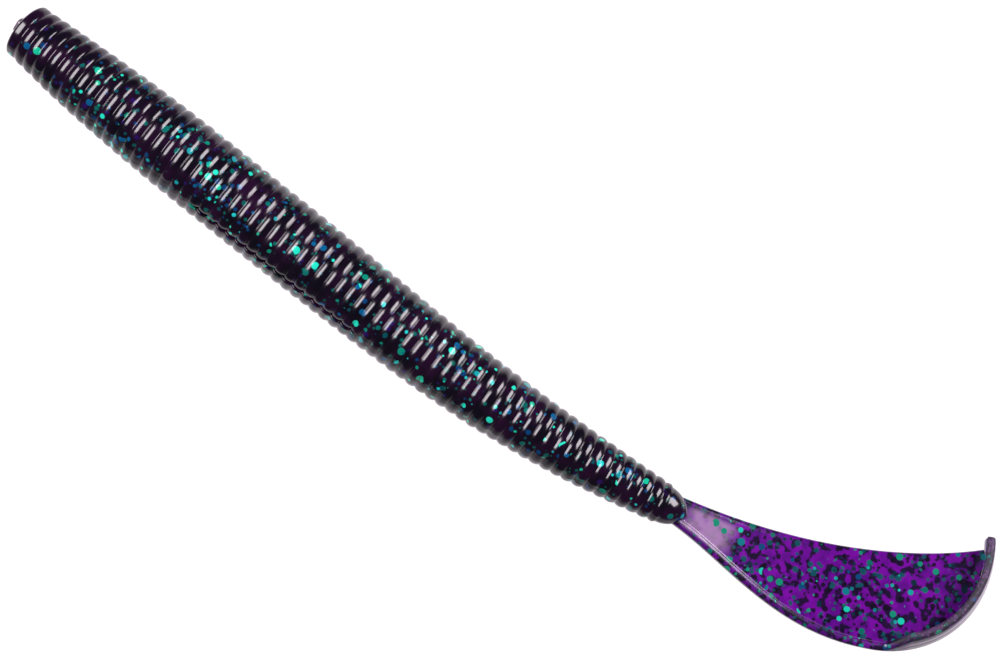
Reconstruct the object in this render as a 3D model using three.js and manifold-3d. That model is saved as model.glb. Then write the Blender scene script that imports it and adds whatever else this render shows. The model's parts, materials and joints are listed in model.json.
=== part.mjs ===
// A ribbed soft plastic fishing worm with a flat swept tail, as it lies on its side on a table.
//
// The real worm is one moulding of soft vinyl that bends anywhere. It is built here as a chain of short
// links, cut where the moulding is thinnest: at every fourth rib groove of the body, and at even steps
// along the tail. Each link is its own solid, hung in a THREE.Group whose origin is the pivot to the link
// before it, so turning a group bends the worm there.
//
// Millimetres. +Z up, +X from nose to tail, +Y the side that the tail sweeps to.

import * as THREE from "three";
import { mergeVertices } from "three/addons/utils/BufferGeometryUtils.js";
import Module from "manifold-3d";

const wasm = await Module();
wasm.setup();

// ---------------------------------------------------------------- driving dimensions

const RIB_PITCH = 1.6;
const GROOVE_DEPTH = 0.5;
const SHOULDER = 0.27; // from a groove to the flattened top of a rib, as a share of the pitch
const RIBS_PER_LINK = 4;
const LINKS = 17;
const LINK_LENGTH = RIB_PITCH * RIBS_PER_LINK;
const BODY_LENGTH = LINKS * LINK_LENGTH;

// Radius over the ribs: it swells from the nose to the widest place, then thins towards the tail.
const NOSE_RADIUS = 3.9;
const WIDEST_RADIUS = 5.5;
const END_RADIUS = 2.62;
const WIDEST_AT = 0.3; // share of the body's length
const NOSE_SWELL_POWER = 2.2;
const TAIL_TAPER_POWER = 2.6;

// The worm lies in a shallow bend, straight at first and then curving towards +Y.
const NOSE_YAW = -2.2; // degrees, on top of the yaw that follows it
const NOSE_YAW_ENDS = 0.12; // share of the body's length
const START_YAW = -2.6; // degrees
const BEND_YAW = 9.7; // degrees gained by the end of the body
const BEND_FROM = 0.53; // share of the body's length

// Each body link ends in a round cap that the next link's hollow front slides over. Both are centred on
// the pivot, so the gap between them stays the same however far the worm bends.
const CAP_GAP = 0.3;
const PIVOT_BEFORE_CREST = RIB_PITCH; // from the pivot to the last rib's crest, where the cap starts
const PIVOT_BEFORE_CUT = PIVOT_BEFORE_CREST + RIB_PITCH / 2;
const CAP_STEPS = 4;
const LIP_BELOW_CREST = 0.06; // how far the hollow front's edge lies inside the rib's crest

const SIDES = 16;

// Nose: a flat end with a rounded edge, and the short round stub that the moulding gate leaves on it.
const NOSE_FACE_RADIUS = 3.1;
const NOSE_EDGE = 0.25; // how far back the rounded edge has half closed in on the ribs
const NOSE_EDGE_ENDS = 0.7;
const GATE_STUB_RADIUS = 1.2;
const GATE_STUB_LENGTH = 0.95;

// Hook slot: a narrow cut along the belly, which faces sideways and up as the worm lies.
const SLOT_START = 33.0; // from the nose
const SLOT_END = 59.5;
const SLOT_WIDTH = 0.5;
const SLOT_DEPTH = 1.6;
const SLOT_ANGLE = 55; // degrees from straight up, towards -Y

// Tail: a flat blade in the plane of x and y of its own frame, which starts at the end of the body.
const BLADE_THICKNESS = 1.0;
const BLADE_START = -1.2;
const TAIL_ROLL = -8; // degrees: the swept edge lies lower than the rim

// The last link has one rib less. Past that rib's crest the body rounds off into a short blunt dart that
// runs out on the blade.
const DART_START = BODY_LENGTH - 1.5 * RIB_PITCH;
const DART_LENGTH = 3.9;
const DART_STEPS = 5;
const DART_BLUNTNESS = 1.3; // 1 would make it half an ellipsoid

// The rim is a bead along the blade's outer edge. It rises into an upright lip round the end of the blade.
const RIM_WIDTH = 1.1;
const RIM_RISE = 0.24;
const RIM_UNDER = 0.15;
const RIM_EDGE = 0.25; // how far the rim's top edges are taken in
const RIM_FOOT = 0.1; // and those of its underside
const RIM_SHOULDER = 0.85; // share of the rim's rise where its sides stop
const LIP_RISE = 3.0;
const LIP_STARTS = 32.6;
const LIP_FULL = 37.2;
const LIP_SWEEP = 0.6; // how much a place's y counts towards the lip's start, next to its x
const LIP_LEAN = 0.37; // inwards, per unit of height
const LIP_LEAN_AT_TIP = 0.3;
const LEAN_EASES = { from: 6, to: 16 }; // in y
const RIM_STEPS = 40;
const INNER_STEPS = 14;
const BLADE_CORNER_Y = 15.7;

// Where the blade is cut into links, measured along its x, and how far each link is turned up at rest.
const TWIST_AT = 3.15;
const FLAP_AT = [9.15, 15.15, 21.15, 27.15];
const FLAP_REST = [2.2, 2.6, 2.6, 2.6]; // degrees
const BLADE_GAP = 0.34;
const BEYOND_TAIL = 100; // further from the tail's start than any of its edges

// ---------------------------------------------------------------- small helpers

const radians = THREE.MathUtils.degToRad;
const smooth = THREE.MathUtils.smoothstep;

function toSolid(geometry) {
  const bare = new THREE.BufferGeometry().setAttribute("position", geometry.getAttribute("position"));
  if (geometry.index) bare.setIndex(geometry.index);
  const merged = mergeVertices(bare, 1e-4);
  return new wasm.Manifold(
    new wasm.Mesh({
      numProp: 3,
      vertProperties: merged.attributes.position.array,
      triVerts: new Uint32Array(merged.index.array),
    }),
  );
}

function toGeometry(solid) {
  const mesh = solid.getMesh();
  const geometry = new THREE.BufferGeometry();
  geometry.setAttribute("position", new THREE.BufferAttribute(new Float32Array(mesh.vertProperties), 3));
  geometry.setIndex(new THREE.BufferAttribute(mesh.triVerts, 1));
  const flat = geometry.toNonIndexed();
  flat.computeVertexNormals();
  return flat;
}

// A solid turned about the X axis, from [x, radius] pairs that start and end on the axis.
// A flat side faces down, and the sides lie outside the true circle.
function turned(profile) {
  const outside = 1 / Math.cos(Math.PI / SIDES);
  const points = profile.map(([x, r]) => new THREE.Vector2(r * outside, -x));
  const lathe = new THREE.LatheGeometry(points.reverse(), SIDES);
  return lathe.rotateY(Math.PI / SIDES).rotateZ(Math.PI / 2);
}

// A closed solid through equal loops of points, with flat ends.
function lofted(loops) {
  const count = loops[0].length;
  const position = loops.flat().flatMap((p) => p.toArray());
  const index = [];
  for (let i = 0; i + 1 < loops.length; i++)
    for (let j = 0; j < count; j++) {
      const k = (j + 1) % count;
      const [a, b, c, d] = [i * count + j, i * count + k, (i + 1) * count + j, (i + 1) * count + k];
      index.push(a, b, c, b, d, c);
    }
  const last = (loops.length - 1) * count;
  for (let j = 1; j + 1 < count; j++) {
    index.push(0, j + 1, j);
    index.push(last, last + j, last + j + 1);
  }
  const geometry = new THREE.BufferGeometry();
  geometry.setAttribute("position", new THREE.Float32BufferAttribute(position, 3));
  return geometry.setIndex(index);
}

function boxBetween(low, high) {
  const size = new THREE.Vector3().subVectors(high, low);
  const middle = new THREE.Vector3().addVectors(low, high).multiplyScalar(0.5);
  return new THREE.BoxGeometry(size.x, size.y, size.z).translate(middle.x, middle.y, middle.z);
}

// ---------------------------------------------------------------- body

function crestRadius(along) {
  const share = along / BODY_LENGTH;
  if (share < WIDEST_AT) {
    const short = WIDEST_RADIUS - NOSE_RADIUS;
    return WIDEST_RADIUS - short * Math.pow(1 - share / WIDEST_AT, NOSE_SWELL_POWER);
  }
  const past = Math.min(1, (share - WIDEST_AT) / (1 - WIDEST_AT));
  return WIDEST_RADIUS - (WIDEST_RADIUS - END_RADIUS) * Math.pow(past, TAIL_TAPER_POWER);
}

// The ribbed surface's radius: a round crest in the middle of each pitch and a sharp groove at its ends.
function ribRadius(along) {
  const phase = along / RIB_PITCH - Math.floor(along / RIB_PITCH + 1e-6);
  const swell = Math.sqrt(Math.max(0, 1 - Math.pow(2 * phase - 1, 2)));
  return crestRadius(along) - GROOVE_DEPTH * (1 - swell);
}

// Where a link's own frame starts along the body: at the nose face, and then at each pivot.
function pivotAt(number) {
  return number === 0 ? 0 : number * LINK_LENGTH - PIVOT_BEFORE_CUT;
}

// The radius of the round cap that turns in the front of a link.
function capRadius(number) {
  return Math.hypot(crestRadius(number * LINK_LENGTH - RIB_PITCH / 2), PIVOT_BEFORE_CREST);
}

// Points of an arc about a pivot on the axis, from the axis out to the given radius.
function arcAbout(pivot, arcRadius, outTo) {
  const widest = Math.asin(outTo / arcRadius);
  const points = [];
  for (let i = 0; i <= CAP_STEPS; i++) {
    const angle = (widest * i) / CAP_STEPS;
    points.push([pivot + arcRadius * Math.cos(angle), arcRadius * Math.sin(angle)]);
  }
  return points;
}

function hollowFront(number) {
  const outTo = crestRadius(number * LINK_LENGTH) - LIP_BELOW_CREST;
  return arcAbout(pivotAt(number), capRadius(number) + CAP_GAP, outTo);
}

function roundBack(number) {
  const outTo = crestRadius((number + 1) * LINK_LENGTH - RIB_PITCH / 2);
  return arcAbout(pivotAt(number + 1), capRadius(number + 1), outTo).reverse();
}

// The ribs of one link as [place along the body, radius], a flattened crest between two grooves.
function ribProfile(number) {
  const points = [];
  const ribs = number === LINKS - 1 ? RIBS_PER_LINK - 1 : RIBS_PER_LINK;
  for (let groove = 1; groove < ribs; groove++)
    for (const aside of [-SHOULDER, 0, SHOULDER]) {
      const along = number * LINK_LENGTH + (groove + aside) * RIB_PITCH;
      points.push([along, ribRadius(along)]);
    }
  return points;
}

function noseFront() {
  return [
    [-GATE_STUB_LENGTH, 0],
    [-GATE_STUB_LENGTH, GATE_STUB_RADIUS],
    [0, GATE_STUB_RADIUS],
    [0, NOSE_FACE_RADIUS],
    [NOSE_EDGE, (NOSE_FACE_RADIUS + NOSE_RADIUS) / 2],
    [NOSE_EDGE_ENDS, ribRadius(NOSE_EDGE_ENDS)],
  ];
}

function dartBack() {
  const points = [];
  for (let i = 0; i <= DART_STEPS; i++) {
    const turn = ((Math.PI / 2) * i) / DART_STEPS;
    const radius = i === DART_STEPS ? 0 : END_RADIUS * Math.pow(Math.cos(turn), DART_BLUNTNESS);
    points.push([DART_START + DART_LENGTH * Math.sin(turn), radius]);
  }
  return points;
}

// From the last pivot of the body to the place where the blade's own frame starts.
const BLADE_ORIGIN = BODY_LENGTH - pivotAt(LINKS - 1);

// The stretch of the hook slot that crosses a link, or null where there is none. It is cut well past both
// ends of the link and out through its skin.
function slotCutter(number) {
  const start = pivotAt(number);
  const reach = 2 * LINK_LENGTH;
  if (SLOT_END <= start || SLOT_START >= start + reach) return null;
  const from = Math.max(SLOT_START - start, -RIB_PITCH);
  const to = Math.min(SLOT_END - start, reach);
  const surface = crestRadius(start + LINK_LENGTH / 2);
  const low = new THREE.Vector3(from, -SLOT_WIDTH / 2, surface - SLOT_DEPTH);
  const high = new THREE.Vector3(to, SLOT_WIDTH / 2, surface + SLOT_DEPTH);
  return boxBetween(low, high).rotateX(radians(SLOT_ANGLE));
}

function linkGeometry(number) {
  const front = number === 0 ? noseFront() : hollowFront(number);
  const back = number === LINKS - 1 ? dartBack() : roundBack(number);
  const profile = [...front, ...ribProfile(number), ...back];
  let solid = toSolid(turned(profile.map(([along, r]) => [along - pivotAt(number), r])));
  const cutter = slotCutter(number);
  if (cutter) solid = solid.subtract(toSolid(cutter));
  if (number === LINKS - 1) {
    const stub = bladePart(BLADE_START, TWIST_AT - BLADE_GAP / 2);
    const placed = toGeometry(stub).rotateX(radians(TAIL_ROLL)).translate(BLADE_ORIGIN, 0, 0);
    solid = solid.add(toSolid(placed));
  }
  return toGeometry(solid);
}

// ---------------------------------------------------------------- tail

const INNER_EDGE = new THREE.CubicBezierCurve3(
  new THREE.Vector3(BLADE_START, 2.0, 0),
  new THREE.Vector3(13, 3.4, 0),
  new THREE.Vector3(28.5, 7.6, 0),
  new THREE.Vector3(39.6, BLADE_CORNER_Y, 0),
);
const OUTER_EDGE = new THREE.CurvePath();
OUTER_EDGE.add(
  new THREE.CubicBezierCurve3(
    new THREE.Vector3(BLADE_START, -1.7, 0),
    new THREE.Vector3(8.5, -2.3, 0),
    new THREE.Vector3(18.6, -7.85, 0),
    new THREE.Vector3(30.8, -4.1, 0),
  ),
);
OUTER_EDGE.add(
  new THREE.CubicBezierCurve3(
    new THREE.Vector3(30.8, -4.1, 0),
    new THREE.Vector3(39.8, -1.7, 0),
    new THREE.Vector3(45.0, 7.3, 0),
    new THREE.Vector3(40.6, 17.3, 0),
  ),
);

// A place on the outer edge, and the direction from there into the blade.
function outerEdgeAt(share) {
  const at = OUTER_EDGE.getPointAt(share);
  const along = OUTER_EDGE.getTangentAt(share);
  return { at, inwards: new THREE.Vector3(-along.y, along.x, 0) };
}

// The blade ends inside the rim's width, and short of the toe where the lip stands past its corner.
function flatBlade() {
  const outline = [];
  for (let i = 0; i <= RIM_STEPS; i++) {
    const { at, inwards } = outerEdgeAt(i / RIM_STEPS);
    if (at.y < BLADE_CORNER_Y) outline.push(at.addScaledVector(inwards, RIM_WIDTH / 2));
  }
  outline.push(...INNER_EDGE.getSpacedPoints(INNER_STEPS).reverse());
  const shape = new THREE.Shape(outline.map((p) => new THREE.Vector2(p.x, p.y)));
  const plate = new THREE.ExtrudeGeometry(shape, { depth: BLADE_THICKNESS, bevelEnabled: false });
  return plate.translate(0, 0, -BLADE_THICKNESS / 2);
}

// The rim and lip in one sweep along the outer edge: a bead at first, then a leaning wall.
function rimAndLip() {
  const loops = [];
  const top = BLADE_THICKNESS / 2;
  for (let i = 0; i <= RIM_STEPS; i++) {
    const share = i / RIM_STEPS;
    const { at, inwards } = outerEdgeAt(share);
    const grown = smooth(at.x + LIP_SWEEP * Math.max(0, at.y), LIP_STARTS, LIP_FULL);
    const rise = RIM_RISE + (LIP_RISE - RIM_RISE) * grown;
    const eased = smooth(at.y, LEAN_EASES.from, LEAN_EASES.to);
    const lean = THREE.MathUtils.lerp(LIP_LEAN, LIP_LEAN_AT_TIP, eased);
    const corner = (across, height) => {
      const leaned = across + lean * Math.max(0, height - top);
      return at.clone().addScaledVector(inwards, leaned).setZ(height);
    };
    loops.push([
      corner(RIM_FOOT, -top - RIM_UNDER),
      corner(0, 0),
      corner(0, top + RIM_SHOULDER * rise),
      corner(RIM_EDGE, top + rise),
      corner(RIM_WIDTH - RIM_EDGE, top + rise),
      corner(RIM_WIDTH, top + RIM_SHOULDER * rise),
      corner(RIM_WIDTH, 0),
      corner(RIM_WIDTH - RIM_FOOT, -top - RIM_UNDER),
    ]);
  }
  return lofted(loops.map((loop) => loop.reverse()));
}

const WHOLE_BLADE = toSolid(flatBlade()).add(toSolid(rimAndLip()));

// The stretch of the blade between two places along it, still in the tail's own frame.
function bladePart(from, to) {
  const low = new THREE.Vector3(from, -BEYOND_TAIL, -BEYOND_TAIL);
  const slab = boxBetween(low, new THREE.Vector3(to, BEYOND_TAIL, BEYOND_TAIL));
  return WHOLE_BLADE.intersect(toSolid(slab));
}

// ---------------------------------------------------------------- materials and assembly

const bodyVinyl = new THREE.MeshStandardMaterial({ color: 0x2a1426, roughness: 0.28, metalness: 0 });
const tailVinyl = new THREE.MeshStandardMaterial({ color: 0x6f0a92, roughness: 0.22, metalness: 0 });

function linkName(number) {
  if (number === 0) return "nose_link";
  if (number === LINKS - 1) return "tail_base_link";
  return "body_link_" + String(number + 1).padStart(2, "0");
}

// A pivot group at a place along its parent, turned by a rotation in the parent's frame.
function pivotGroup(parent, distance, turn) {
  const group = new THREE.Group();
  group.position.x = distance;
  group.quaternion.copy(turn);
  parent.add(group);
  return group;
}

function addMesh(parent, name, geometry, material) {
  const mesh = new THREE.Mesh(geometry, material);
  mesh.name = name;
  parent.add(mesh);
}

// The way a link points: yaw from the shallow bend, pitch so that every rib touches the table.
function linkDirection(number) {
  const start = pivotAt(number);
  const share = (start + LINK_LENGTH / 2) / BODY_LENGTH;
  const nose = Math.max(0, 1 - share / NOSE_YAW_ENDS);
  const yaw = radians(START_YAW + NOSE_YAW * nose + BEND_YAW * smooth(share, BEND_FROM, 1));
  const rise = crestRadius(start + LINK_LENGTH) - crestRadius(start);
  const pitch = Math.asin(rise / LINK_LENGTH);
  return new THREE.Quaternion().setFromEuler(new THREE.Euler(0, -pitch, yaw, "ZYX"));
}

const worm = new THREE.Group();
let hangsOn = worm;
let before = new THREE.Quaternion();
for (let number = 0; number < LINKS; number++) {
  const direction = linkDirection(number);
  const turn = before.clone().invert().multiply(direction);
  const distance = number === 0 ? 0 : pivotAt(number) - pivotAt(number - 1);
  hangsOn = pivotGroup(hangsOn, distance, turn);
  addMesh(hangsOn, linkName(number), linkGeometry(number), bodyVinyl);
  before = direction;
}

const acrossBlade = new THREE.Vector3(0, 1, 0);
const alongBody = new THREE.Vector3(1, 0, 0);
const bladeCuts = [TWIST_AT, ...FLAP_AT];
bladeCuts.forEach((cut, k) => {
  const last = k === bladeCuts.length - 1;
  const end = last ? BEYOND_TAIL : bladeCuts[k + 1] - BLADE_GAP / 2;
  const part = toGeometry(bladePart(cut + BLADE_GAP / 2, end)).translate(-cut, 0, 0);
  const distance = k === 0 ? BLADE_ORIGIN + cut : cut - bladeCuts[k - 1];
  const turn = new THREE.Quaternion();
  if (k === 0) turn.setFromAxisAngle(alongBody, radians(TAIL_ROLL));
  else turn.setFromAxisAngle(acrossBlade, -radians(FLAP_REST[k - 1]));
  hangsOn = pivotGroup(hangsOn, distance, turn);
  addMesh(hangsOn, last ? "tail_end_with_lip" : "tail_blade_" + (k + 1), part, tailVinyl);
});

// The origin is under the middle of the worm, on the table.
const box = new THREE.Box3().setFromObject(worm, true);
const middle = box.getCenter(new THREE.Vector3());
worm.position.set(-middle.x, -middle.y, -box.min.z);

export default worm;
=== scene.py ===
import json
import math

import bmesh
import bpy
import numpy as np
from mathutils import Matrix, Vector, noise


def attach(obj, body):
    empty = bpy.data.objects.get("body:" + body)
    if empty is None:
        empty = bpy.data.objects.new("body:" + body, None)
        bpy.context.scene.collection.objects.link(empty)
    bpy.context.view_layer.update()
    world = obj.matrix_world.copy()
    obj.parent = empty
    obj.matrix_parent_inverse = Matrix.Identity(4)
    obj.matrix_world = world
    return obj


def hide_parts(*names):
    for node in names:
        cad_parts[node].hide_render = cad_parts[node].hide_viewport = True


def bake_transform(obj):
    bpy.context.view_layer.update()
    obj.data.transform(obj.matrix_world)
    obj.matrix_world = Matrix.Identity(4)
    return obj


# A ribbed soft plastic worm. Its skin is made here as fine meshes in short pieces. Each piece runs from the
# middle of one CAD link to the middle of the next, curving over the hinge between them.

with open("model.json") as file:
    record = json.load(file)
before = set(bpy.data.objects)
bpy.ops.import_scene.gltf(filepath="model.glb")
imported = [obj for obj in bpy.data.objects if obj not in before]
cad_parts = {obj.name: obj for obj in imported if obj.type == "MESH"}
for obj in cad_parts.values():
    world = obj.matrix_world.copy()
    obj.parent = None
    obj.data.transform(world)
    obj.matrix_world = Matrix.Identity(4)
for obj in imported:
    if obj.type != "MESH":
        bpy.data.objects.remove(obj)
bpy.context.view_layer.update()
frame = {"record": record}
MM = 0.001

# ------------------------------------------------------------------ sizes, as in the CAD, in millimetres

RIB_PITCH = 1.6
RIBS_PER_LINK = 4
LINK_LENGTH = RIB_PITCH * RIBS_PER_LINK
LINKS = 17
BODY_LENGTH = LINKS * LINK_LENGTH
PIVOT_BEFORE_CUT = 1.5 * RIB_PITCH
NOSE_RADIUS, WIDEST_RADIUS, END_RADIUS = 3.9, 5.5, 2.62
WIDEST_AT = 0.3
NOSE_SWELL_POWER, TAIL_TAPER_POWER = 2.2, 2.6
GROOVE_DEPTH = 0.29
NOSE_FACE_RADIUS = 3.2
LAST_CREST = BODY_LENGTH - 1.5 * RIB_PITCH
DART_LENGTH = 3.9
DART_TAPER = 1.3  # 1 would make it half an ellipsoid, and more makes it more pointed
DART_STEPS = 21
NOSE_EDGE = 0.55  # how far along the body the nose face's rounded edge reaches

SLOT_START, SLOT_END = 33.0, 59.5
SLOT_WIDTH, SLOT_DEPTH = 0.42, 1.6
SLOT_ANGLE = math.radians(55)
SLOT_RAMP = 0.7  # half the length over which each end of the slot gets deeper

BLADE_START = -1.2
BLADE_THICKNESS = 1.0
TWIST_AT = 3.15
FLAP_SPACING = 6.0
RIM_WIDTH, RIM_RISE, RIM_UNDER = 1.1, 0.24, 0.1
LIP_RISE, LIP_STARTS, LIP_FULL = 3.0, 33.4, 36.4
LIP_SWEEP = 0.6  # how much a place's y counts towards the lip's start, next to its x
LIP_LEAN, LIP_LEAN_AT_TIP = 0.37, 0.3  # inwards, per unit of height
LEAN_EASES = (6, 16)  # in y
INNER_EDGE = [(BLADE_START, 2.0), (13, 3.4), (28.5, 7.6), (39.6, 15.7)]
OUTER_EDGE = [
    [(BLADE_START, -1.7), (8.5, -2.3), (18.6, -7.85), (30.8, -4.1)],
    [(30.8, -4.1), (39.8, -1.7), (45.0, 7.3), (40.6, 17.3)],
]

# ------------------------------------------------------------------ the line through the worm

joints = {j["name"]: j for j in frame["record"]["behaviour"]["joints"]}
body_hinges = sorted(name for name in joints if name.startswith("bend_"))
flap_hinges = sorted(name for name in joints if name.startswith("tail_flap_"))


def vec(numbers):
    return np.array(numbers, float)


def unit(v):
    return v / np.linalg.norm(v)


def pivot(name):
    return vec(joints[name]["pos_m"]) / MM


def smoothstep(x, low, high):
    t = np.clip((np.asarray(x, float) - low) / (high - low), 0, 1)
    return t * t * (3 - 2 * t)


class Line:
    """A smooth curve through points at given distances along it, straight past both ends."""

    def __init__(self, distances, points):
        self.d = vec(distances)
        self.p = np.array(points, float)
        steps = (self.p[1:] - self.p[:-1]) / (self.d[1:] - self.d[:-1])[:, None]
        self.tangents = np.vstack([steps[:1], (steps[1:] + steps[:-1]) / 2, steps[-1:]])

    def at(self, distance):
        i = int(np.clip(np.searchsorted(self.d, distance) - 1, 0, len(self.d) - 2))
        span = self.d[i + 1] - self.d[i]
        t = (distance - self.d[i]) / span
        if t < 0:
            return self.p[0] + self.tangents[0] * (distance - self.d[0])
        if t > 1:
            return self.p[-1] + self.tangents[-1] * (distance - self.d[-1])
        a, b = self.p[i], self.p[i + 1]
        ma, mb = self.tangents[i] * span, self.tangents[i + 1] * span
        cubic = (2 * t**3 - 3 * t**2 + 1) * a + (t**3 - 2 * t**2 + t) * ma
        return cubic + (3 * t**2 - 2 * t**3) * b + (t**3 - t**2) * mb

    def direction(self, distance):
        return unit(self.at(distance + 0.05) - self.at(distance - 0.05))


def pivot_at(number):
    return number * LINK_LENGTH - PIVOT_BEFORE_CUT


nose_direction = -vec(frame["record"]["mounts"][0]["axis"])
nose_centre = pivot(body_hinges[0]) - pivot_at(1) * nose_direction
body_line = Line(
    [0.0] + [pivot_at(n) for n in range(1, LINKS)] + [BODY_LENGTH + TWIST_AT],
    [nose_centre] + [pivot(name) for name in body_hinges] + [pivot("tail_twist")],
)
tail_side = -vec(joints[flap_hinges[0]]["axis"])
tail_line = Line(
    [TWIST_AT - FLAP_SPACING] + [TWIST_AT + FLAP_SPACING * n for n in range(5)],
    [2 * pivot("tail_twist") - pivot(flap_hinges[0])]
    + [pivot("tail_twist")]
    + [pivot(name) for name in flap_hinges],
)
UP = vec((0, 0, 1))


def body_frame(along):
    """The centre of the body there, with the directions up and to the tail's side."""
    forward = body_line.direction(along)
    side = unit(np.cross(UP, forward))
    return body_line.at(along), np.cross(forward, side), side


def tail_point(x, y, z):
    forward = tail_line.direction(x)
    over = unit(np.cross(forward, tail_side))
    return tail_line.at(x) + y * tail_side + z * over


# ------------------------------------------------------------------ mesh helpers


def new_object(name, verts_mm, faces, material, tints=None):
    mesh = bpy.data.meshes.new(name)
    mesh.from_pydata((np.array(verts_mm) * MM).tolist(), [], faces)
    mesh.materials.append(material)
    rest = mesh.attributes.new("rest", "FLOAT_VECTOR", "POINT")
    rest.data.foreach_set("vector", (np.array(verts_mm, np.float32) * MM).ravel())
    tint = mesh.attributes.new("tint", "FLOAT_COLOR", "POINT")
    values = np.ones((len(verts_mm), 4), np.float32)
    if tints is not None:
        values[:, :3] = tints
    tint.data.foreach_set("color", values.ravel())
    for polygon in mesh.polygons:
        polygon.use_smooth = True
    made = bpy.data.objects.new(name, mesh)
    bpy.context.scene.collection.objects.link(made)
    return made


def tube_faces(rings, sides):
    faces = []
    for i in range(rings - 1):
        for j in range(sides):
            k = (j + 1) % sides
            faces.append((i * sides + j, i * sides + k, (i + 1) * sides + k, (i + 1) * sides + j))
    return faces


# ------------------------------------------------------------------ body skin


def crest_radius(along):
    share = along / BODY_LENGTH
    if share < WIDEST_AT:
        short = WIDEST_RADIUS - NOSE_RADIUS
        return WIDEST_RADIUS - short * (1 - share / WIDEST_AT) ** NOSE_SWELL_POWER
    past = min(1.0, (share - WIDEST_AT) / (1 - WIDEST_AT))
    return WIDEST_RADIUS - (WIDEST_RADIUS - END_RADIUS) * past**TAIL_TAPER_POWER


def groove_share(along):
    """0 on a rib's crest and 1 at the bottom of the groove beside it. A rib's section is part of a circle."""
    half = RIB_PITCH / 2
    bend = (half**2 + GROOVE_DEPTH**2) / (2 * GROOVE_DEPTH)
    off_crest = (along % RIB_PITCH) - half
    return (bend - math.sqrt(bend**2 - off_crest**2)) / GROOVE_DEPTH


SIDES = 112
RINGS_PER_RIB = 12
# Round the body every ring has the same columns. Ten of them run beside the hook slot, at these places
# across it (in half widths) and these shares of its depth.
SLOT_COLUMNS = [
    (-3.2, 0.0), (-1.35, 0.0), (-1.05, 0.04), (-1.0, 0.3), (-0.9, 1.0),
    (0.9, 1.0), (1.0, 0.3), (1.05, 0.04), (1.35, 0.0), (3.2, 0.0),
]
SLOT_REACH = 3.6  # where the even columns start on either side, in half widths
SMALLEST_RADIUS = 0.02  # of the ring that closes the skin


WIDE_RIPPLE, WIDE_RIPPLE_DEPTH = 2.6, 0.035
FINE_RIPPLE, FINE_RIPPLE_DEPTH = 0.9, 0.014


def unevenness(point):
    """The slight ripple of a hand-poured skin, in millimetres."""
    wide = noise.noise(Vector(point) / WIDE_RIPPLE)
    fine = noise.noise(Vector(point) / FINE_RIPPLE + Vector((7, 3, 5)))
    return WIDE_RIPPLE_DEPTH * wide + FINE_RIPPLE_DEPTH * fine


def body_ring(along, radius, slot_share):
    """One ring of skin vertices, with the slot cut into it by slot_share of its full depth."""
    centre, up, side = body_frame(along)
    ring, depth = [], []
    reach = SLOT_REACH * SLOT_WIDTH / 2 / WIDEST_RADIUS
    for j in range(SIDES):
        angle = SLOT_ANGLE + reach + (2 * math.pi - 2 * reach) * j / (SIDES - 1)
        out = math.cos(angle) * up - math.sin(angle) * side
        ring.append(centre + (radius + unevenness(centre + radius * out)) * out)
        depth.append(0.0)
    out = math.cos(SLOT_ANGLE) * up - math.sin(SLOT_ANGLE) * side
    across = -math.sin(SLOT_ANGLE) * up - math.cos(SLOT_ANGLE) * side
    for halves, share in SLOT_COLUMNS:
        offset = halves * SLOT_WIDTH / 2 * radius / WIDEST_RADIUS
        level = math.sqrt(radius**2 - offset**2) - share * slot_share * SLOT_DEPTH
        ring.append(centre + level * out + offset * across)
        depth.append(share * slot_share)
    return ring, depth


def body_stations(start, end):
    """(place along the body, radius) of each ring."""
    count = round((end - start) / RIB_PITCH * RINGS_PER_RIB)
    stations = []
    for i in range(count + 1):
        along = start + (end - start) * i / count
        stations.append((along, crest_radius(along) - GROOVE_DEPTH * groove_share(along)))
    return stations


def nose_stations():
    """The flat nose face and its rounded edge, up to the first rib's crest."""
    face_rings, edge_rings = 5, 8
    radii = np.linspace(SMALLEST_RADIUS, NOSE_FACE_RADIUS, face_rings)
    round_off = crest_radius(RIB_PITCH / 2) - NOSE_FACE_RADIUS
    stations = [(0.0, radius) for radius in radii]
    for i in range(1, edge_rings + 1):
        turn = math.pi / 2 * i / edge_rings
        stations.append((NOSE_EDGE * (1 - math.cos(turn)), NOSE_FACE_RADIUS + round_off * math.sin(turn)))
    return stations


def dart_stations():
    """The dart past the last rib's crest, which runs out on the blade."""
    stations = []
    for turn in np.linspace(0, math.pi / 2, DART_STEPS + 1)[1:]:
        radius = max(SMALLEST_RADIUS, END_RADIUS * math.cos(turn) ** DART_TAPER)
        stations.append((LAST_CREST + DART_LENGTH * math.sin(turn), radius))
    return stations


def slot_share_at(along):
    """The share of its full depth that the hook slot has there."""
    begun = smoothstep(along, SLOT_START - SLOT_RAMP, SLOT_START + SLOT_RAMP)
    ended = smoothstep(along, SLOT_END - SLOT_RAMP, SLOT_END + SLOT_RAMP)
    return float(begun * (1 - ended))


def body_piece(name, stations, material):
    verts, tints = [], []
    sides = SIDES + len(SLOT_COLUMNS)
    for along, radius in stations:
        ring, depth = body_ring(along, radius, slot_share_at(along))
        verts += ring
        tints += [(d, 0.0, 0.0) for d in depth]
    faces = tube_faces(len(stations), sides)
    faces.append(tuple(range(sides)))
    faces.append(tuple(reversed(range((len(stations) - 1) * sides, len(stations) * sides))))
    made = new_object(name, verts, faces, material, tints)
    for polygon in made.data.polygons[-2:]:
        polygon.use_smooth = False
    return made


def seam_after(number):
    """Where the skin is cut in the middle of a link, at a groove."""
    return (number + 0.5) * LINK_LENGTH


link_names = ["nose_link"] + ["body_link_%02d" % n for n in range(2, LINKS)] + ["tail_base_link"]


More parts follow.
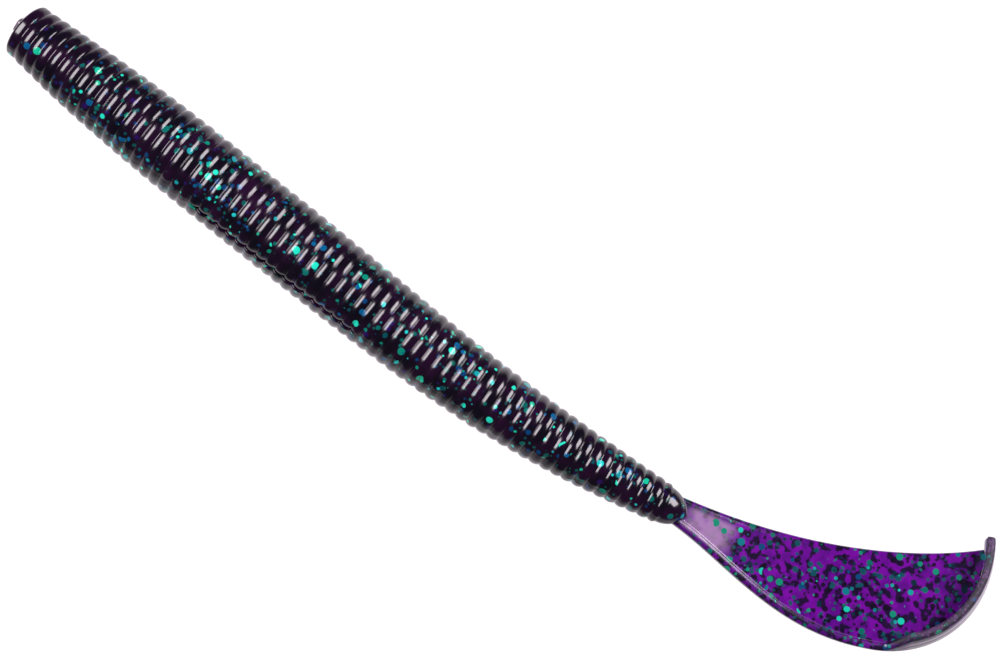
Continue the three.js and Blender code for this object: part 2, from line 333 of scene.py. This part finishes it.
def make_body(material):
    for number in range(1, LINKS):
        start, end = seam_after(number - 1), seam_after(number)
        if number == 1:
            stations = nose_stations() + body_stations(RIB_PITCH / 2, end)
        else:
            stations = body_stations(start, end)
        piece = body_piece("body_skin_%02d" % number, stations, material)
        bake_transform(piece)
        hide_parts(link_names[number - 1])
    last = body_stations(seam_after(LINKS - 1), LAST_CREST) + dart_stations()
    piece = body_piece("body_end_dart", last, material)
    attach(piece, "tail_base_link")
    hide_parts("tail_base_link")


# ------------------------------------------------------------------ tail


def bezier(points, t):
    a, b, c, d = [vec(p) for p in points]
    return (1 - t) ** 3 * a + 3 * (1 - t) ** 2 * t * b + 3 * (1 - t) * t**2 * c + t**3 * d


class Edge:
    """A chain of Bezier curves, read by share of its length."""

    def __init__(self, curves):
        self.points = np.array([bezier(c, t) for c in curves for t in np.linspace(0, 1, 200)])
        steps = np.linalg.norm(np.diff(self.points, axis=0), axis=1)
        self.lengths = np.concatenate([[0], np.cumsum(steps)])

    def at(self, share):
        wanted = share * self.lengths[-1]
        return vec([np.interp(wanted, self.lengths, self.points[:, k]) for k in range(2)])

    def inwards(self, share):
        along = unit(self.at(min(1, share + 0.004)) - self.at(max(0, share - 0.004)))
        return vec((-along[1], along[0]))


outer_edge = Edge(OUTER_EDGE)
inner_edge = Edge([INNER_EDGE])
CORNER_SHARE = 0.965  # of the outer edge, where the blade's swept corner meets the lip


# Roundings of the tail's edges, in millimetres. A share keeps each within a narrow or low place.
FOOT_ROOM = 0.25  # from the rim's inner side to the flat of the blade
LEAST_WIDTH = 0.02  # of the blade, where the lip goes on past its corner
EDGE_ROUNDING, EDGE_ROUNDING_SHARE = 0.45, 0.4
EDGE_SWELL = 0.8  # share of the blade's half thickness that its inner edge rounds off
RIM_ROUNDING, RIM_ROUNDING_SHARE = 0.42, 0.75
RIM_FOOT_FLARE = 0.1
RIM_SWELL = 0.98
RIM_BELLY = 0.1  # how far under the blade's middle the rim's outer face stays upright
RIM_OUTSET = 0.02
TOE_STEPS, TOE_LEAST = 9, 0.03  # the second is the share that the last loop shrinks to
TAIL_SECTIONS = 190

# What colours the rim: how thick the vinyl looks there, from 0 to 1, and how pale it is, by share of the way
# up the inner side of the bead and by share of the way down the outer face of the lip. The pale line up the
# bead is a painted highlight, and the pale bands down the lip's outer face are a painted reflection.
BEAD_THICKNESS, FACE_THICKNESS = 0.3, 0.4
FOOT_HIGHLIGHT_LINE = {0.1: 0.0, 0.35: 0.6, 0.6: 0.6, 0.85: 0.0}
FACE_REFLECTION_BANDS = {0.1: 0.0, 0.22: 0.0, 0.3: 1.0, 0.45: 1.0, 0.53: 0.2, 0.6: 1.0, 0.8: 1.0, 1.0: 0.3}


def blade_top(inner, flat_from, foot):
    """The inner edge from half height up, and the flat top out to the rim's foot."""
    half, steps = BLADE_THICKNESS / 2, 6
    points = []
    for i in range(steps + 1):
        turn = math.pi / 2 * i / steps
        height = half * (EDGE_SWELL * math.sin(turn) + (1 - EDGE_SWELL) * i / steps)
        points.append((inner + (flat_from - inner) * (1 - math.cos(turn)), height, 0.0, 0.0))
    for t in np.linspace(0.08, 1, 26):
        points.append((flat_from + (foot - flat_from) * t, half, 0.0, 0.0))
    return points


def rim(outer, inwards, rise, lean, grown):
    """The bead or lip, up from its foot, over its top and down its outer face to the underside."""
    half = BLADE_THICKNESS / 2
    rounding = min(RIM_ROUNDING_SHARE * rise, RIM_ROUNDING)
    shoulder = rise - rounding
    thickness = BEAD_THICKNESS + (1 - BEAD_THICKNESS) * grown
    points = []

    def add(across, height, thick, pale=0.0):
        leant = across + lean * max(0, height - half)
        points.append((outer + inwards * leant, height, thick, pale))

    # The pale line up the bead's inner side is a painted highlight.
    for t, pale in FOOT_HIGHLIGHT_LINE.items():
        add(RIM_WIDTH + RIM_FOOT_FLARE * (1 - t) ** 2, half + shoulder * t, thickness, pale * (1 - grown))
    top_steps = 8
    for i in range(top_steps + 1):
        turn = math.pi * i / top_steps
        across = RIM_WIDTH / 2 * (1 + RIM_SWELL * math.cos(turn))
        add(across, half + shoulder + rounding * math.sin(turn), thickness)
    # The pale bands down the lip's outer face are a painted reflection.
    for t, pale in FACE_REFLECTION_BANDS.items():
        add(RIM_OUTSET, (half + shoulder) * (1 - t) - RIM_BELLY * t, FACE_THICKNESS, pale * grown)
    under_steps = 4
    for i in range(1, under_steps + 1):
        turn = math.pi / 2 * i / under_steps
        height = -RIM_BELLY - (half + RIM_UNDER - RIM_BELLY) * math.sin(turn)
        add(EDGE_ROUNDING * (1 - math.cos(turn)), height, 0.3)
    add(RIM_WIDTH * 0.8, -half - RIM_UNDER, 0.2)
    add(RIM_WIDTH + 0.15, -half, 0.1)
    return points


def blade_underside(inner, flat_from, foot):
    """The flat underside back from the rim's foot, and the inner edge up to half height."""
    half, steps = BLADE_THICKNESS / 2, 5
    points = []
    for t in np.linspace(0.05, 0.95, 14):
        points.append((foot + (flat_from - foot) * t, -half, 0.0, 0.0))
    for i in range(steps, 0, -1):
        turn = math.pi / 2 * i / steps
        height = -half * (EDGE_SWELL * math.sin(turn) + (1 - EDGE_SWELL) * i / steps)
        points.append((inner + (flat_from - inner) * (1 - math.cos(turn)), height, 0.0, 0.0))
    return points


def tail_section(share):
    """A closed loop round the tail at a share of its outer edge, as (x, y, height, thickness, paleness)."""
    outer = outer_edge.at(share)
    inwards = outer_edge.inwards(share)
    reached = outer[0] + LIP_SWEEP * max(0, outer[1])
    grown = float(np.clip((reached - LIP_STARTS) / (LIP_FULL - LIP_STARTS), 0, 1))
    rise = RIM_RISE + (LIP_RISE - RIM_RISE) * grown
    lean = LIP_LEAN - (LIP_LEAN - LIP_LEAN_AT_TIP) * float(smoothstep(outer[1], *LEAN_EASES))
    foot = outer + inwards * (RIM_WIDTH + FOOT_ROOM)
    inner = inner_edge.at(min(1, share / CORNER_SHARE))
    if share >= CORNER_SHARE or np.dot(inner - foot, inwards) < LEAST_WIDTH:
        inner = foot + inwards * LEAST_WIDTH
    width = np.linalg.norm(inner - foot)
    flat_from = inner - (inner - foot) / width * min(EDGE_ROUNDING, width * EDGE_ROUNDING_SHARE)
    section = blade_top(inner, flat_from, foot)
    section += rim(outer, inwards, rise, lean, grown)
    section += blade_underside(inner, flat_from, foot)
    return [(flat[0], flat[1], height, thick, pale) for flat, height, thick, pale in section]


def make_tail_mesh():
    """The whole tail as one closed mesh in flat tail coordinates, in millimetres."""
    loops = [tail_section(share) for share in np.linspace(0, 1, TAIL_SECTIONS)]
    # The toe of the lip is rounded off by shrinking copies of the last loop.
    last = np.array(loops[-1])
    middle = last.mean(axis=0)
    forward = unit(outer_edge.at(1) - outer_edge.at(0.99))
    for i in range(1, TOE_STEPS + 1):
        turn = math.pi / 2 * i / TOE_STEPS
        shrunk = middle + (last - middle) * max(TOE_LEAST, math.cos(turn))
        shrunk[:, :2] += forward * RIM_WIDTH / 2 * math.sin(turn)
        shrunk[:, 3:] = last[:, 3:]
        loops.append([tuple(p) for p in shrunk])
    verts = np.array([p for loop in loops for p in loop])
    sides = len(loops[0])
    faces = [tuple(reversed(f)) for f in tube_faces(len(loops), sides)]
    faces.append(tuple(range(sides)))
    faces.append(tuple(reversed(range((len(loops) - 1) * sides, len(loops) * sides))))
    return verts, faces


# The painted highlight on top of the blade by its root, a pale patch in place of a reflection of the lights:
# where it fades in and out in x, and where its two sides are in y, each as a place at the root and a slope.
ROOT_HIGHLIGHT_FADES_IN, ROOT_HIGHLIGHT_FADES_OUT = (0.0, 2.5), (6.5, 9.5)
ROOT_HIGHLIGHT_BEAD_SIDE, ROOT_HIGHLIGHT_INNER_SIDE = (-1.2, -0.14), (1.3, 0.1)
ROOT_HIGHLIGHT_STRENGTH = 0.85


def painted_root_highlight(x, y, z):
    """How much of the painted highlight, a pale patch on top of the blade by its root, covers a point."""
    if z < 0:
        return 0.0
    along = smoothstep(x, *ROOT_HIGHLIGHT_FADES_IN) * (1 - smoothstep(x, *ROOT_HIGHLIGHT_FADES_OUT))
    bead = ROOT_HIGHLIGHT_BEAD_SIDE[0] + ROOT_HIGHLIGHT_BEAD_SIDE[1] * x
    upper = ROOT_HIGHLIGHT_INNER_SIDE[0] + ROOT_HIGHLIGHT_INNER_SIDE[1] * x
    across = smoothstep(y, bead - 0.3, bead + 0.5) * (1 - smoothstep(y, upper - 0.5, upper + 0.5))
    return ROOT_HIGHLIGHT_STRENGTH * float(along * across)


def cut_whole_tail(verts, faces, seams):
    """The tail cut through at the seams and bent onto its line.

    Gives each vertex's x before bending, its point, tint and normal, and the faces between the seams.
    """
    mesh = bmesh.new()
    thick = mesh.verts.layers.float.new("thick")
    pale = mesh.verts.layers.float.new("pale")
    points = []
    for x, y, z, thickness, paleness in verts:
        v = mesh.verts.new((x, y, z))
        v[thick] = thickness
        v[pale] = paleness
        points.append(v)
    for face in faces:
        mesh.faces.new([points[i] for i in face])
    bmesh.ops.remove_doubles(mesh, verts=mesh.verts[:], dist=0.004)
    for place in seams:
        geom = mesh.verts[:] + mesh.edges[:] + mesh.faces[:]
        bmesh.ops.bisect_plane(mesh, geom=geom, dist=1e-4, plane_co=(place, 0, 0), plane_no=(1, 0, 0))
    bmesh.ops.recalc_face_normals(mesh, faces=mesh.faces[:])
    strips = []
    for face in mesh.faces:
        strips.append(int(np.searchsorted(seams, face.calc_center_median().x)))
    mesh.verts.index_update()
    flat_x = [v.co.x for v in mesh.verts]
    # Tint channels: the painted highlight by the root, the painted paleness of the rim, and the vinyl's
    # thickness.
    tints = [(painted_root_highlight(v.co.x, v.co.y, v.co.z), v[pale], v[thick]) for v in mesh.verts]
    for v in mesh.verts:
        v.co = tail_point(v.co.x, v.co.y, v.co.z)
    mesh.normal_update()
    placed = [tuple(v.co) for v in mesh.verts]
    normals = [tuple(v.normal) for v in mesh.verts]
    groups = [[] for _ in range(len(seams) + 1)]
    for face, strip in zip(mesh.faces, strips):
        groups[strip].append([v.index for v in face.verts])
    mesh.free()
    return flat_x, placed, tints, normals, groups


def cap_at(flat_x, faces, place):
    """The face that fills some faces' cut at a seam, in a list that is empty when they do not reach it."""
    following = {}
    for face in faces:
        for a, b in zip(face, face[1:] + face[:1]):
            if abs(flat_x[a] - place) < 1e-3 and abs(flat_x[b] - place) < 1e-3:
                if following.get(b) == a:
                    following.pop(b)
                else:
                    following[a] = b
    if not following:
        return []
    first = next(iter(following))
    loop = [first]
    while following[loop[-1]] != first:
        loop.append(following[loop[-1]])
    return [list(reversed(loop))]


def tail_piece(name, whole, number, seams, material):
    """One strip of the tail, with its cuts closed and the whole tail's normals on its skin."""
    flat_x, placed, tints, normals, groups = whole
    faces = groups[number]
    caps = []
    for place in seams[max(0, number - 1):number + 1]:
        caps += cap_at(flat_x, faces, place)
    used = sorted({i for face in faces for i in face})
    new_index = {old: new for new, old in enumerate(used)}
    all_faces = [[new_index[i] for i in face] for face in faces + caps]
    points = [placed[i] for i in used]
    made = new_object(name, points, all_faces, material, [tints[i] for i in used])
    mesh = made.data
    for polygon in mesh.polygons[len(faces):]:
        polygon.use_smooth = False
    corner_normals = []
    for polygon in mesh.polygons:
        for i in polygon.vertices:
            corner_normals.append(normals[used[i]] if polygon.use_smooth else tuple(polygon.normal))
    mesh.normals_split_custom_set(corner_normals)
    return made


def make_tail(material):
    verts, faces = make_tail_mesh()
    seams = [TWIST_AT + FLAP_SPACING * (n + 0.5) for n in range(4)]
    whole = cut_whole_tail(verts, faces, seams)
    bodies = ["tail_base_link"] + ["tail_blade_%d" % n for n in range(1, 5)] + ["tail_end_with_lip"]
    for n in range(5):
        piece = tail_piece("tail_skin_%d" % (n + 1), whole, n, seams, material)
        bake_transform(piece)
        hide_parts(bodies[n + 1])


# ------------------------------------------------------------------ materials


class Nodes:
    """Short calls for building a node tree."""

    def __init__(self, name):
        self.material = bpy.data.materials.new(name)
        self.material.use_nodes = True
        self.tree = self.material.node_tree
        self.tree.nodes.clear()
        output = self.tree.nodes.new("ShaderNodeOutputMaterial")
        self.shader = self.tree.nodes.new("ShaderNodeBsdfPrincipled")
        self.link(self.shader.outputs[0], output.inputs[0])

    def link(self, out, into):
        self.tree.links.new(out, into)

    def put(self, node, socket, value):
        if hasattr(value, "links"):
            self.link(value, node.inputs[socket])
        else:
            node.inputs[socket].default_value = value

    def attribute(self, name, output="Vector"):
        node = self.tree.nodes.new("ShaderNodeAttribute")
        node.attribute_name = name
        return node.outputs[output]

    def math(self, operation, a, b):
        node = self.tree.nodes.new("ShaderNodeMath")
        node.operation = operation
        self.put(node, 0, a)
        self.put(node, 1, b)
        return node.outputs[0]

    def split(self, colour):
        node = self.tree.nodes.new("ShaderNodeSeparateColor")
        self.put(node, 0, colour)
        return node.outputs

    def mix(self, factor, a, b):
        node = self.tree.nodes.new("ShaderNodeMix")
        node.data_type = "RGBA"
        self.put(node, 0, factor)
        self.put(node, 6, a)
        self.put(node, 7, b)
        return node.outputs[2]

    def span(self, value, low, high, to_low=0.0, to_high=1.0, smooth=True):
        node = self.tree.nodes.new("ShaderNodeMapRange")
        node.interpolation_type = "SMOOTHSTEP" if smooth else "LINEAR"
        self.put(node, 0, value)
        for socket, number in zip((1, 2, 3, 4), (low, high, to_low, to_high)):
            self.put(node, socket, number)
        return node.outputs[0]

    def voronoi(self, coords, cell_mm, offset):
        shift = self.tree.nodes.new("ShaderNodeVectorMath")
        shift.operation = "ADD"
        self.put(shift, 0, coords)
        shift.inputs[1].default_value = [o * MM for o in offset]
        node = self.tree.nodes.new("ShaderNodeTexVoronoi")
        node.feature = "F1"
        self.link(shift.outputs[0], node.inputs["Vector"])
        node.inputs["Scale"].default_value = 1 / (cell_mm * MM)
        return node

    def noise(self, coords, size_mm, detail=2.0):
        node = self.tree.nodes.new("ShaderNodeTexNoise")
        self.link(coords, node.inputs["Vector"])
        node.inputs["Scale"].default_value = 1 / (size_mm * MM)
        node.inputs["Detail"].default_value = detail
        return node.outputs["Fac"]

    def pick(self, factor, stops):
        """The colour of the last stop that the factor has passed."""
        node = self.tree.nodes.new("ShaderNodeValToRGB")
        node.color_ramp.interpolation = "CONSTANT"
        while len(node.color_ramp.elements) < len(stops):
            node.color_ramp.elements.new(1.0)
        for element, (place, colour) in zip(node.color_ramp.elements, stops):
            element.position = place
            element.color = (*colour, 1)
        self.put(node, 0, factor)
        return node.outputs[0]


def flakes(nodes, coords, crowd, layer, soft):
    """Round flakes scattered in a volume: how much of one covers a point, and a random number for each."""
    cell_mm, small_mm, large_mm, share, offset = layer
    cells = nodes.voronoi(coords, cell_mm, offset)
    red, green, blue = nodes.split(cells.outputs["Color"])
    radius = nodes.span(green, 0, 1, small_mm / cell_mm, large_mm / cell_mm, smooth=False)
    inside = nodes.math("SUBTRACT", radius, cells.outputs["Distance"])
    cover = nodes.span(inside, 0, soft / cell_mm)
    chosen = nodes.math("LESS_THAN", red, nodes.math("MULTIPLY", crowd, share))
    return nodes.math("MULTIPLY", cover, chosen), blue


# Layers of flakes: the cell that holds one, the smallest and largest radius, the share of cells that have
# one, and a shift that keeps the layers apart, in millimetres.
BODY_DEEP_LAYERS = [(1.15, 0.25, 0.55, 0.5, (3, 7, 1)), (0.8, 0.15, 0.38, 0.45, (8, 2, 5))]
BODY_FLAKE_LAYERS = [(1.35, 0.22, 0.62, 0.42, (0, 0, 0)), (0.95, 0.12, 0.34, 0.28, (4, 1, 9))]
TAIL_DARK_LAYERS = [(1.0, 0.3, 0.58, 0.62, (5, 2, 9)), (0.7, 0.18, 0.38, 0.55, (2, 8, 3))]
TAIL_FLAKE_LAYERS = [(1.4, 0.28, 0.6, 0.46, (1, 4, 6)), (1.0, 0.12, 0.36, 0.3, (7, 5, 2))]
SHARP_EDGE, DARK_EDGE, DEEP_EDGE = 0.09, 0.15, 0.2  # width of a flake's soft edge, in millimetres

FLAKE_COLOURS = [
    (0.0, (0.01, 0.52, 0.36)),
    (0.22, (0.004, 0.34, 0.20)),
    (0.36, (0.0, 0.17, 0.11)),
    (0.50, (0.01, 0.42, 0.40)),
    (0.62, (0.0, 0.10, 0.085)),
    (0.78, (0.0, 0.07, 0.17)),
    (0.9, (0.004, 0.22, 0.24)),
]
TAIL_FLAKE_COLOURS = [
    (0.0, (0.004, 0.34, 0.24)),
    (0.14, (0.002, 0.15, 0.09)),
    (0.40, (0.0, 0.085, 0.065)),
    (0.62, (0.002, 0.20, 0.18)),
    (0.76, (0.0, 0.035, 0.10)),
    (0.88, (0.0, 0.11, 0.13)),
]
DEEP_COLOURS = [
    (0.0, (0.0, 0.075, 0.065)),
    (0.35, (0.0, 0.03, 0.10)),
    (0.6, (0.0, 0.05, 0.065)),
    (0.8, (0.012, 0.002, 0.06)),
]
DARK_FLAKE_COLOURS = [
    (0.0, (0.002, 0.0003, 0.006)),
    (0.45, (0.0, 0.012, 0.024)),
    (0.7, (0.0, 0.045, 0.055)),
]

BODY_VINYL = (0.0012, 0.0003, 0.0035, 1), (0.010, 0.0008, 0.012, 1)
PAINTED_SLOT_SHADE = (0.001, 0.0003, 0.001, 1)
BODY_SHEEN = (0.55, 0.2, 0.65, 1)
TAIL_VINYL = (0.050, 0.0, 0.118, 1), (0.100, 0.0, 0.190, 1)
THICK_VINYL = (0.011, 0.0015, 0.017, 1)
LIP_SPARKLE_PAINT = (0.10, 0.05, 0.12, 1)
DARK_PATCH = (0.0022, 0.0008, 0.0085, 1)
ROOT_HIGHLIGHT_PAINT = (0.23, 0.14, 0.26, 1)
BEAD_HIGHLIGHT_PAINT = (0.17, 0.08, 0.21, 1)
LIP_REFLECTION_PAINT = (0.34, 0.31, 0.35, 1)
CLEAR_VINYL = (0.10, 0.07, 0.10, 1), (0.22, 0.17, 0.22, 1)
SWEEP_PAINT = (0.70, 0.73, 0.70, 1), (0.72, 0.75, 0.72, 1)


def body_material():
    n = Nodes("body_vinyl_with_flakes")
    rest = n.attribute("rest")
    slot, _, _ = n.split(n.attribute("tint", "Color"))
    crowd = n.span(n.noise(rest, 5.5, 1.0), 0.35, 0.65, 0.35, 1.6)
    colour = n.mix(n.span(n.noise(rest, 3.0), 0.35, 0.7), *BODY_VINYL)
    for layer in BODY_DEEP_LAYERS:
        deep, hue = flakes(n, rest, crowd, layer, DEEP_EDGE)
        colour = n.mix(deep, colour, n.pick(hue, DEEP_COLOURS))
    for layer in BODY_FLAKE_LAYERS:
        cover, hue = flakes(n, rest, crowd, layer, SHARP_EDGE)
        colour = n.mix(cover, colour, n.pick(hue, FLAKE_COLOURS))
    # Painted shade: darker towards the bottom of the hook slot, by its depth.
    colour = n.mix(n.math("MULTIPLY", slot, 0.95), colour, PAINTED_SLOT_SHADE)
    n.put(n.shader, "Base Color", colour)
    n.put(n.shader, "Roughness", 0.16)
    n.put(n.shader, "IOR", 1.5)
    n.put(n.shader, "Sheen Weight", 0.12)
    n.put(n.shader, "Sheen Roughness", 0.3)
    n.put(n.shader, "Sheen Tint", BODY_SHEEN)
    return n.material


def tail_material():
    n = Nodes("tail_vinyl_with_flakes")
    rest = n.attribute("rest")
    root_highlight, pale, thick = n.split(n.attribute("tint", "Color"))
    crowd = n.span(n.noise(rest, 5.0, 1.0), 0.3, 0.7, 0.55, 1.4)
    colour = n.mix(n.span(n.noise(rest, 2.2), 0.35, 0.65), *TAIL_VINYL)
    colour = n.mix(n.math("MULTIPLY", thick, 0.85), colour, THICK_VINYL)
    # Painted sparkle highlights: fine pale specks on the top of the thick lip.
    sparkle_specks = n.math("MULTIPLY", n.span(thick, 0.5, 1.0), n.span(n.noise(rest, 0.28, 1.0), 0.52, 0.66))
    colour = n.mix(n.math("MULTIPLY", sparkle_specks, 0.7), colour, LIP_SPARKLE_PAINT)
    patches = n.span(n.noise(rest, 1.0, 0.6), 0.50, 0.60)
    colour = n.mix(n.math("MULTIPLY", patches, 0.93), colour, DARK_PATCH)
    for layer in TAIL_DARK_LAYERS:
        dark, hue = flakes(n, rest, crowd, layer, DARK_EDGE)
        colour = n.mix(n.math("MULTIPLY", dark, 0.94), colour, n.pick(hue, DARK_FLAKE_COLOURS))
    # Painted highlight: a pale patch by the blade's root, mottled by noise.
    mottled_root_highlight = n.math("MULTIPLY", root_highlight, n.span(n.noise(rest, 1.6), 0.3, 0.6, 0.5, 1.0))
    colour = n.mix(mottled_root_highlight, colour, ROOT_HIGHLIGHT_PAINT)
    for layer in TAIL_FLAKE_LAYERS:
        cover, hue = flakes(n, rest, crowd, layer, SHARP_EDGE)
        colour = n.mix(cover, colour, n.pick(hue, TAIL_FLAKE_COLOURS))
    # Painted highlight: a thin pale line along the foot of the bead's inner side.
    colour = n.mix(n.span(pale, 0.2, 0.6), colour, BEAD_HIGHLIGHT_PAINT)
    # Painted reflection: pale bands down the lip's outer face, with a dark line between them.
    colour = n.mix(n.span(pale, 0.7, 1.0), colour, LIP_REFLECTION_PAINT)
    n.put(n.shader, "Base Color", colour)
    n.put(n.shader, "Roughness", n.span(thick, 0.0, 1.0, 0.14, 0.62))
    n.put(n.shader, "IOR", 1.5)
    return n.material


def clear_material():
    n = Nodes("clear_gate_vinyl")
    rest = n.attribute("rest")
    n.put(n.shader, "Base Color", n.mix(n.noise(rest, 0.5), *CLEAR_VINYL))
    n.put(n.shader, "Roughness", 0.12)
    n.put(n.shader, "Transmission Weight", 0.5)
    n.put(n.shader, "IOR", 1.45)
    return n.material


def floor_material():
    n = Nodes("pale_floor")
    coords = n.tree.nodes.new("ShaderNodeTexCoord").outputs["Object"]
    n.put(n.shader, "Base Color", n.mix(n.noise(coords, 40.0), *SWEEP_PAINT))
    n.put(n.shader, "Roughness", 0.6)
    return n.material


# (radius, place along the body) round the stub, from inside the nose face to the middle of its broken end.
STUB_PROFILE = [
    (0.15, 0.0), (1.16, 0.0), (1.12, -0.3), (1.16, -0.95),
    (1.1, -1.12), (0.9, -1.18), (0.02, -1.2),
]
STUB_SIDES = 40
STUB_FLATNESS = 0.95


def make_gate_stub(material):
    """The thin clear stub that the mould's gate leaves on the nose."""
    centre, up, side = body_frame(0.0)
    forward = body_line.direction(0.0)
    verts = []
    for radius, along in STUB_PROFILE:
        for j in range(STUB_SIDES):
            angle = 2 * math.pi * j / STUB_SIDES
            wave = 1 + 0.06 * math.sin(3 * angle) + 0.04 * math.sin(5 * angle + 1)
            out = math.cos(angle) * up * STUB_FLATNESS + math.sin(angle) * side
            verts.append(centre + forward * along + radius * wave * out)
    rings = len(STUB_PROFILE)
    faces = [tuple(reversed(f)) for f in tube_faces(rings, STUB_SIDES)]
    faces.append(tuple(range(STUB_SIDES)))
    faces.append(tuple(reversed(range((rings - 1) * STUB_SIDES, rings * STUB_SIDES))))
    stub = new_object("gate_stub", verts, faces, material)
    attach(stub, "nose_link")


# ------------------------------------------------------------------ build

make_body(body_material())
make_tail(tail_material())
make_gate_stub(clear_material())

# ------------------------------------------------------------------ studio

# The sweep lies well below the worm, as if under clear glass, so that no shadow falls behind it.
SWEEP_BELOW = 0.09
SWEEP_SIZE = 3.0
CAMERA_DISTANCE = 0.33
VIEW_WIDTH = 133.85  # millimetres across the picture at the worm
ROLL, TILT_UP, TILT_SIDE = math.radians(36.1), math.radians(-3.5), math.radians(-2.6)
AIM_HEIGHT = 4.0
AIM_SHIFT = (-0.187, 1.727)  # right and down in the picture, in millimetres
SENSOR = 36.0
SOFTBOX_DISTANCE = 0.45
SOFTBOX_BRIGHTNESS = 14


def make_camera():
    cos, sin = math.cos, math.sin
    turn = Matrix(((cos(ROLL), sin(ROLL), 0), (sin(ROLL), -cos(ROLL), 0), (0, 0, -1)))
    up = Matrix(((1, 0, 0), (0, cos(TILT_UP), -sin(TILT_UP)), (0, sin(TILT_UP), cos(TILT_UP))))
    over = Matrix(((cos(TILT_SIDE), 0, sin(TILT_SIDE)), (0, 1, 0), (-sin(TILT_SIDE), 0, cos(TILT_SIDE))))
    right, down, forward = over @ up @ turn
    aim = (Vector((0, 0, AIM_HEIGHT)) + right * AIM_SHIFT[0] + down * AIM_SHIFT[1]) * MM
    place = aim - forward * CAMERA_DISTANCE
    data = bpy.data.cameras.new("camera")
    data.sensor_width = SENSOR
    data.lens = SENSOR * CAMERA_DISTANCE / (VIEW_WIDTH * MM)
    data.clip_start = 0.01
    camera = bpy.data.objects.new("camera", data)
    camera.matrix_world = Matrix((
        (right.x, -down.x, -forward.x, place.x),
        (right.y, -down.y, -forward.y, place.y),
        (right.z, -down.z, -forward.z, place.z),
        (0, 0, 0, 1),
    ))
    bpy.context.scene.collection.objects.link(camera)
    bpy.context.scene.camera = camera


def softbox(name, direction, along_worm, round_worm):
    """A rectangular light that faces the worm. Its brightness is what a mirror would show, with white as 1."""
    data = bpy.data.lights.new(name, "AREA")
    data.shape = "RECTANGLE"
    data.size, data.size_y = along_worm, round_worm
    data.color = (1.0, 0.92, 0.98)
    data.energy = SOFTBOX_BRIGHTNESS * math.pi * along_worm * round_worm
    light = bpy.data.objects.new(name, data)
    towards = Vector(direction).normalized()
    length = (Vector((1, 0, 0)) - towards * towards.x).normalized()
    height = towards.cross(length)
    place = towards * SOFTBOX_DISTANCE
    light.matrix_world = Matrix((
        (length.x, height.x, towards.x, place.x),
        (length.y, height.y, towards.y, place.y),
        (length.z, height.z, towards.z, place.z),
        (0, 0, 0, 1),
    ))
    bpy.context.scene.collection.objects.link(light)


def make_studio():
    softbox("softbox_tail_side", (0.556, 0.592, 0.5835), 0.25, 0.27)
    softbox("softbox_nose_side", (-0.592, -0.1435, 0.793), 0.23, 0.30)
    mesh = bpy.data.meshes.new("sweep")
    signs = ((-1, -1), (1, -1), (1, 1), (-1, 1))
    corners = [(x * SWEEP_SIZE, y * SWEEP_SIZE, -SWEEP_BELOW) for x, y in signs]
    mesh.from_pydata(corners, [], [(0, 1, 2, 3)])
    mesh.materials.append(floor_material())
    floor = bpy.data.objects.new("sweep", mesh)
    bpy.context.scene.collection.objects.link(floor)
    world = bpy.data.worlds.new("studio")
    world.use_nodes = True
    background = world.node_tree.nodes["Background"]
    background.inputs["Color"].default_value = (0.9, 0.85, 1, 1)
    background.inputs["Strength"].default_value = 0.10
    bpy.context.scene.world = world
    bpy.context.scene.view_settings.view_transform = "Standard"


make_camera()
make_studio()
